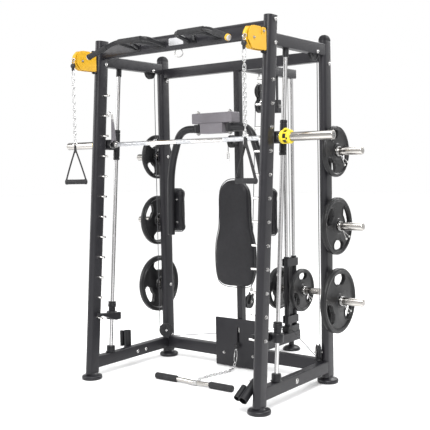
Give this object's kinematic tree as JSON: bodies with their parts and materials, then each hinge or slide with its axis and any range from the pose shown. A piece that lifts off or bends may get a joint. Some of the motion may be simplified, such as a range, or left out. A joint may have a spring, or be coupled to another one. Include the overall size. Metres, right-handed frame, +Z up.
{
  "type": "smith machine",
  "caption": "Gym tower with a guided hook-latching bar, plate-loaded rear sled, butterfly arms, overhead grips, cable handles, plate storage and a landmine tube.",
  "frame": {"origin": "on the floor, in the middle of the machine's footprint (the middle of its bounding box in X and Y)", "axes": "+Z up, +X to the right of someone facing the back of the machine from its front, +Y towards the rear mast"},
  "size_m": [2.068, 1.6958, 2.2],
  "materials": {
    "frame_paint": "dark grey powder coat, satin",
    "black_steel": "black powder coat, satin",
    "grey_steel": "mid grey powder coat, satin",
    "chrome": "polished hard chrome",
    "plate": "cast iron weight under a matt black rubber coat",
    "vinyl": "black grained upholstery vinyl over foam",
    "amber": "amber yellow gloss paint",
    "yellow": "bright yellow moulded nylon",
    "nylon": "black moulded nylon and webbing",
    "wire": "steel cable in a clear coat"
  },
  "bodies": {
    "frame": {"front_upright_left": "frame_paint", "rear_upright_left": "frame_paint", "top_rail_left": "frame_paint", "base_rail_left": "frame_paint", "pullup_grip_left": "black_steel", "guide_rod_left": "chrome", "side_cable_left": "wire", "front_upright_right": "frame_paint", "rear_upright_right": "frame_paint", "top_rail_right": "frame_paint", "base_rail_right": "frame_paint", "pullup_grip_right": "black_steel", "guide_rod_right": "chrome", "side_cable_right": "wire", "front_beam": "frame_paint", "rear_top_beam": "frame_paint", "rear_base_beam": "frame_paint", "mast": "frame_paint", "footplate": "frame_paint", "back_pad": "vinyl", "fly_head": "grey_steel", "sled_rod_front": "chrome", "sled_rod_rear": "chrome", "lift_cable": "wire", "hanging_pulley": "nylon", "low_pulley_block": "nylon"},
    "carriages": {"carriage_left": "black_steel", "carriage_right": "black_steel"},
    "bar": {"smith_bar": "chrome", "bar_hook_left": "grey_steel", "bar_hook_right": "grey_steel"},
    "sled": {"sled": "black_steel"},
    "row_bar": {"row_bar": "chrome"},
    "landmine": {"landmine": "black_steel"},
    "collar_left": {"jaw_collar_left": "yellow"},
    "stop_left": {"safety_stop_left": "black_steel"},
    "fly_left": {"fly_arm_left": "black_steel", "fly_pad_left": "vinyl"},
    "sled_plate_left": {"sled_plate_left": "plate"},
    "top_plate_left": {"plate_top_left": "plate"},
    "middle_plate_left": {"plate_middle_left": "plate"},
    "bottom_plate_left": {"plate_bottom_left": "plate"},
    "swivel_left": {"swivel_housing_left": "amber"},
    "swivel_wheel_left": {"swivel_wheel_left": "amber"},
    "handle_left": {"cable_handle_left": "nylon"},
    "top_wheel_left": {"top_wheel_left": "nylon"},
    "low_wheel_left": {"low_wheel_left": "nylon"},
    "collar_right": {"jaw_collar_right": "yellow"},
    "stop_right": {"safety_stop_right": "black_steel"},
    "fly_right": {"fly_arm_right": "black_steel", "fly_pad_right": "vinyl"},
    "sled_plate_right": {"sled_plate_right": "plate"},
    "top_plate_right": {"plate_top_right": "plate"},
    "middle_plate_right": {"plate_middle_right": "plate"},
    "bottom_plate_right": {"plate_bottom_right": "plate"},
    "swivel_right": {"swivel_housing_right": "amber"},
    "swivel_wheel_right": {"swivel_wheel_right": "amber"},
    "handle_right": {"cable_handle_right": "nylon"},
    "top_wheel_right": {"top_wheel_right": "nylon"},
    "low_wheel_right": {"low_wheel_right": "nylon"}
  },
  "joints": [
    {"name": "smith_slide", "type": "slide", "parent": "frame", "child": "carriages", "axis": [0, 0.0783, 0.9969], "range_m": [-0.93, 0.3]},
    {"name": "bar_turn", "type": "hinge", "parent": "carriages", "child": "bar", "pos_m": [0, -0.51, 1.528], "axis": [1, 0, 0], "range_deg": [-25, 0]},
    {"name": "sled_slide", "type": "slide", "parent": "frame", "child": "sled", "axis": [0, 0, 1], "range_m": [0, 1.2], "deforming": ["lift_cable"]},
    {"name": "row_bar_lift", "type": "hinge", "parent": "frame", "child": "row_bar", "pos_m": [0, -0.004, 0.159], "axis": [1, 0, 0], "range_deg": [-60, 0]},
    {"name": "landmine_tilt", "type": "hinge", "parent": "frame", "child": "landmine", "pos_m": [0.602, -0.656, 0.158], "axis": [1, 0, 0], "range_deg": [-100, 0]},
    {"name": "collar_left_slide", "type": "slide", "parent": "bar", "child": "collar_left", "axis": [-1, 0, 0], "range_m": [0, 0.26]},
    {"name": "safety_stop_left_lift", "type": "slide", "parent": "frame", "child": "stop_left", "axis": [0, 0.0783, 0.9969], "range_m": [0, 0.085]},
    {"name": "fly_arm_left_swing", "type": "hinge", "parent": "frame", "child": "fly_left", "pos_m": [-0.129, -0.207, 1.617], "axis": [0, 0, 1], "range_deg": [0, 90]},
    {"name": "sled_plate_left_slide", "type": "slide", "parent": "sled", "child": "sled_plate_left", "axis": [-1, 0, 0], "range_m": [0, 0.135]},
    {"name": "top_plate_left_slide", "type": "slide", "parent": "frame", "child": "top_plate_left", "axis": [-1, 0, 0], "range_m": [0, 0.165]},
    {"name": "middle_plate_left_slide", "type": "slide", "parent": "frame", "child": "middle_plate_left", "axis": [-1, 0, 0], "range_m": [0, 0.16]},
    {"name": "bottom_plate_left_slide", "type": "slide", "parent": "frame", "child": "bottom_plate_left", "axis": [-1, 0, 0], "range_m": [0, 0.15]},
    {"name": "swivel_left_turn", "type": "hinge", "parent": "frame", "child": "swivel_left", "pos_m": [-0.66, -0.62, 2.06], "axis": [0, 0, 1], "range_deg": [-45, 45]},
    {"name": "swivel_wheel_left_spin", "type": "hinge", "parent": "swivel_left", "child": "swivel_wheel_left", "pos_m": [-0.66, -0.734, 2.056], "axis": [1, 0, 0], "continuous": true},
    {"name": "handle_left_swing", "type": "hinge", "parent": "swivel_left", "child": "handle_left", "pos_m": [-0.66, -0.798, 2.02], "axis": [1, 0, 0], "range_deg": [-80, 5]},
    {"name": "top_wheel_left_spin", "type": "hinge", "parent": "frame", "child": "top_wheel_left", "pos_m": [-0.66, -0.075, 2.043], "axis": [1, 0, 0], "continuous": true},
    {"name": "low_wheel_left_spin", "type": "hinge", "parent": "frame", "child": "low_wheel_left", "pos_m": [-0.62962, 0.00319, 0.2], "axis": [-0.7376, 0.6752, 0], "continuous": true},
    {"name": "collar_right_slide", "type": "slide", "parent": "bar", "child": "collar_right", "axis": [1, 0, 0], "range_m": [0, 0.26]},
    {"name": "safety_stop_right_lift", "type": "slide", "parent": "frame", "child": "stop_right", "axis": [0, 0.0783, 0.9969], "range_m": [0, 0.085]},
    {"name": "fly_arm_right_swing", "type": "hinge", "parent": "frame", "child": "fly_right", "pos_m": [0.129, -0.207, 1.617], "axis": [0, 0, 1], "range_deg": [-90, 0]},
    {"name": "sled_plate_right_slide", "type": "slide", "parent": "sled", "child": "sled_plate_right", "axis": [1, 0, 0], "range_m": [0, 0.135]},
    {"name": "top_plate_right_slide", "type": "slide", "parent": "frame", "child": "top_plate_right", "axis": [1, 0, 0], "range_m": [0, 0.165]},
    {"name": "middle_plate_right_slide", "type": "slide", "parent": "frame", "child": "middle_plate_right", "axis": [1, 0, 0], "range_m": [0, 0.16]},
    {"name": "bottom_plate_right_slide", "type": "slide", "parent": "frame", "child": "bottom_plate_right", "axis": [1, 0, 0], "range_m": [0, 0.15]},
    {"name": "swivel_right_turn", "type": "hinge", "parent": "frame", "child": "swivel_right", "pos_m": [0.66, -0.62, 2.06], "axis": [0, 0, 1], "range_deg": [-45, 45]},
    {"name": "swivel_wheel_right_spin", "type": "hinge", "parent": "swivel_right", "child": "swivel_wheel_right", "pos_m": [0.66, -0.734, 2.056], "axis": [1, 0, 0], "continuous": true},
    {"name": "handle_right_swing", "type": "hinge", "parent": "swivel_right", "child": "handle_right", "pos_m": [0.66, -0.798, 2.02], "axis": [1, 0, 0], "range_deg": [-80, 5]},
    {"name": "top_wheel_right_spin", "type": "hinge", "parent": "frame", "child": "top_wheel_right", "pos_m": [0.66, -0.075, 2.043], "axis": [1, 0, 0], "continuous": true},
    {"name": "low_wheel_right_spin", "type": "hinge", "parent": "frame", "child": "low_wheel_right", "pos_m": [0.62962, 0.00319, 0.2], "axis": [-0.7376, -0.6752, 0], "continuous": true}
  ]
}
